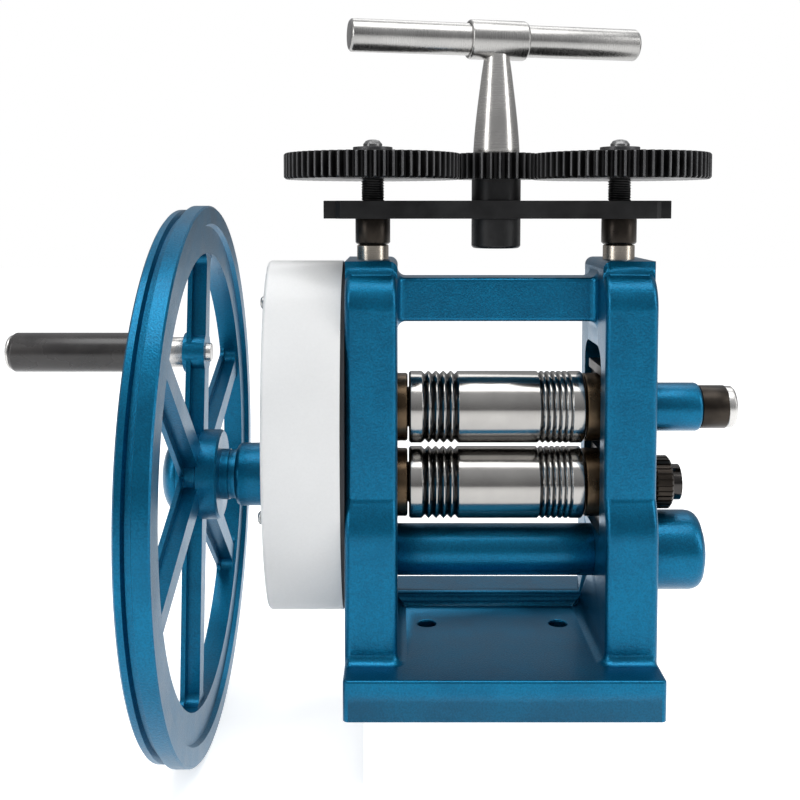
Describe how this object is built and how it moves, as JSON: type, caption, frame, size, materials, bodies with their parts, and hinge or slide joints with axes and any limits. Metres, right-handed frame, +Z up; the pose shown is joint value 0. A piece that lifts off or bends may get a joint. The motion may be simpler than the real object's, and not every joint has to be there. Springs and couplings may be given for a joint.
{
  "type": "jewellers rolling mill",
  "caption": "Hand-cranked bench rolling mill with grooved rolls, oval gear case, spoked hand wheel and geared T-handle roll adjustment.",
  "frame": {"origin": "middle of the underside of the base", "axes": "+X along the rolls, away from the hand wheel; +Y away from the operator; +Z up"},
  "size_m": [0.5504, 0.406, 0.5424],
  "materials": {
    "blue_paint": "metallic enamel",
    "white_paint": "satin enamel",
    "black_steel": "black oxide",
    "machined_steel": "turned",
    "polished_steel": "polished",
    "cast_iron": "machined",
    "bronze": "dull bronze",
    "black_plastic": "semi-gloss"
  },
  "bodies": {
    "frame": {"frame_casting": "blue_paint", "lower_block_left": "cast_iron", "lower_block_right": "cast_iron", "lower_bush_left": "bronze", "lower_bush_right": "bronze", "stay_tube": "blue_paint", "layshaft_cap": "blue_paint", "layshaft_bushes": "bronze", "case_back_plate": "machined_steel", "case_screws": "machined_steel", "gear_cover": "white_paint", "cover_screws": "machined_steel", "wheel_housing": "blue_paint", "housing_ring_nut": "machined_steel", "wheel_bush": "bronze", "screw_nuts": "bronze"},
    "upper_blocks": {"upper_block_left": "cast_iron", "upper_block_right": "cast_iron", "upper_bush_left": "bronze", "upper_bush_right": "bronze", "screw_keepers": "machined_steel", "journal_sleeve": "blue_paint"},
    "upper_roll": {"upper_roll": "polished_steel", "upper_roll_gear": "machined_steel", "journal_ring": "black_steel", "journal_nut": "machined_steel"},
    "lower_roll": {"lower_roll": "polished_steel", "lower_roll_gear": "machined_steel", "bull_gear": "machined_steel", "lock_ring": "black_steel", "lock_nut": "black_steel"},
    "layshaft": {"layshaft": "machined_steel", "layshaft_pinion": "machined_steel", "layshaft_gear": "machined_steel", "layshaft_collar": "machined_steel"},
    "hand_wheel": {"hand_wheel": "blue_paint", "wheel_shaft": "machined_steel", "wheel_pinion": "machined_steel", "hub_nut": "machined_steel", "hub_cap": "blue_paint", "hub_spacer": "machined_steel", "crank_pin": "machined_steel", "crank_end_washer": "machined_steel"},
    "crank_grip": {"crank_grip": "black_plastic"},
    "head": {"bridge_plate": "black_steel"},
    "handle": {"handle_column": "machined_steel", "handle_bar": "machined_steel", "centre_gear": "black_steel", "centre_hub": "black_steel"},
    "left_screw": {"screw_spindle_left": "machined_steel", "screw_collar_left": "black_steel", "screw_gear_left": "black_steel", "gear_washer_left": "black_steel", "gear_bolt_left": "black_steel"},
    "right_screw": {"screw_spindle_right": "machined_steel", "screw_collar_right": "black_steel", "screw_gear_right": "black_steel", "gear_washer_right": "black_steel", "gear_bolt_right": "black_steel"}
  },
  "joints": [
    {"name": "wheel_spin", "type": "hinge", "parent": "frame", "child": "hand_wheel", "pos_m": [-0.225, 0, 0.1495], "axis": [1, 0, 0], "continuous": true},
    {"name": "layshaft_spin", "type": "hinge", "parent": "frame", "child": "layshaft", "pos_m": [0, 0, 0.0915], "axis": [1, 0, 0], "continuous": true},
    {"name": "lower_roll_spin", "type": "hinge", "parent": "frame", "child": "lower_roll", "pos_m": [0, 0, 0.1435], "axis": [1, 0, 0], "continuous": true},
    {"name": "block_travel", "type": "slide", "parent": "frame", "child": "upper_blocks", "axis": [0, 0, 1], "range_m": [-0.0035, 0.0018]},
    {"name": "upper_roll_spin", "type": "hinge", "parent": "upper_blocks", "child": "upper_roll", "pos_m": [0, 0, 0.201], "axis": [1, 0, 0], "continuous": true},
    {"name": "grip_spin", "type": "hinge", "parent": "hand_wheel", "child": "crank_grip", "pos_m": [-0.316, 0.01439, 0.24037], "axis": [1, 0, 0], "continuous": true},
    {"name": "head_travel", "type": "slide", "parent": "frame", "child": "head", "axis": [0, 0, 1], "range_m": [-0.0034, 0.00175]},
    {"name": "handle_turn", "type": "hinge", "parent": "head", "child": "handle", "pos_m": [0, 0, 0.38], "axis": [0, 0, 1], "range_deg": [-722, 1402]},
    {"name": "left_screw_turn", "type": "hinge", "parent": "head", "child": "left_screw", "pos_m": [-0.092, 0, 0.38], "axis": [0, 0, 1], "range_deg": [-620, 320]},
    {"name": "right_screw_turn", "type": "hinge", "parent": "head", "child": "right_screw", "pos_m": [0.092, 0, 0.38], "axis": [0, 0, 1], "range_deg": [-620, 320]}
  ],
  "couplings": [
    {"joint": "layshaft_spin", "follows": "wheel_spin", "ratio": -0.70588},
    {"joint": "lower_roll_spin", "follows": "wheel_spin", "ratio": 0.31372},
    {"joint": "upper_roll_spin", "follows": "wheel_spin", "ratio": -0.31372},
    {"joint": "handle_turn", "follows": "head_travel", "rad_per_m": -7180.8},
    {"joint": "left_screw_turn", "follows": "head_travel", "rad_per_m": 3141.6},
    {"joint": "right_screw_turn", "follows": "head_travel", "rad_per_m": 3141.6},
    {"joint": "block_travel", "follows": "head_travel", "ratio": 1}
  ]
}
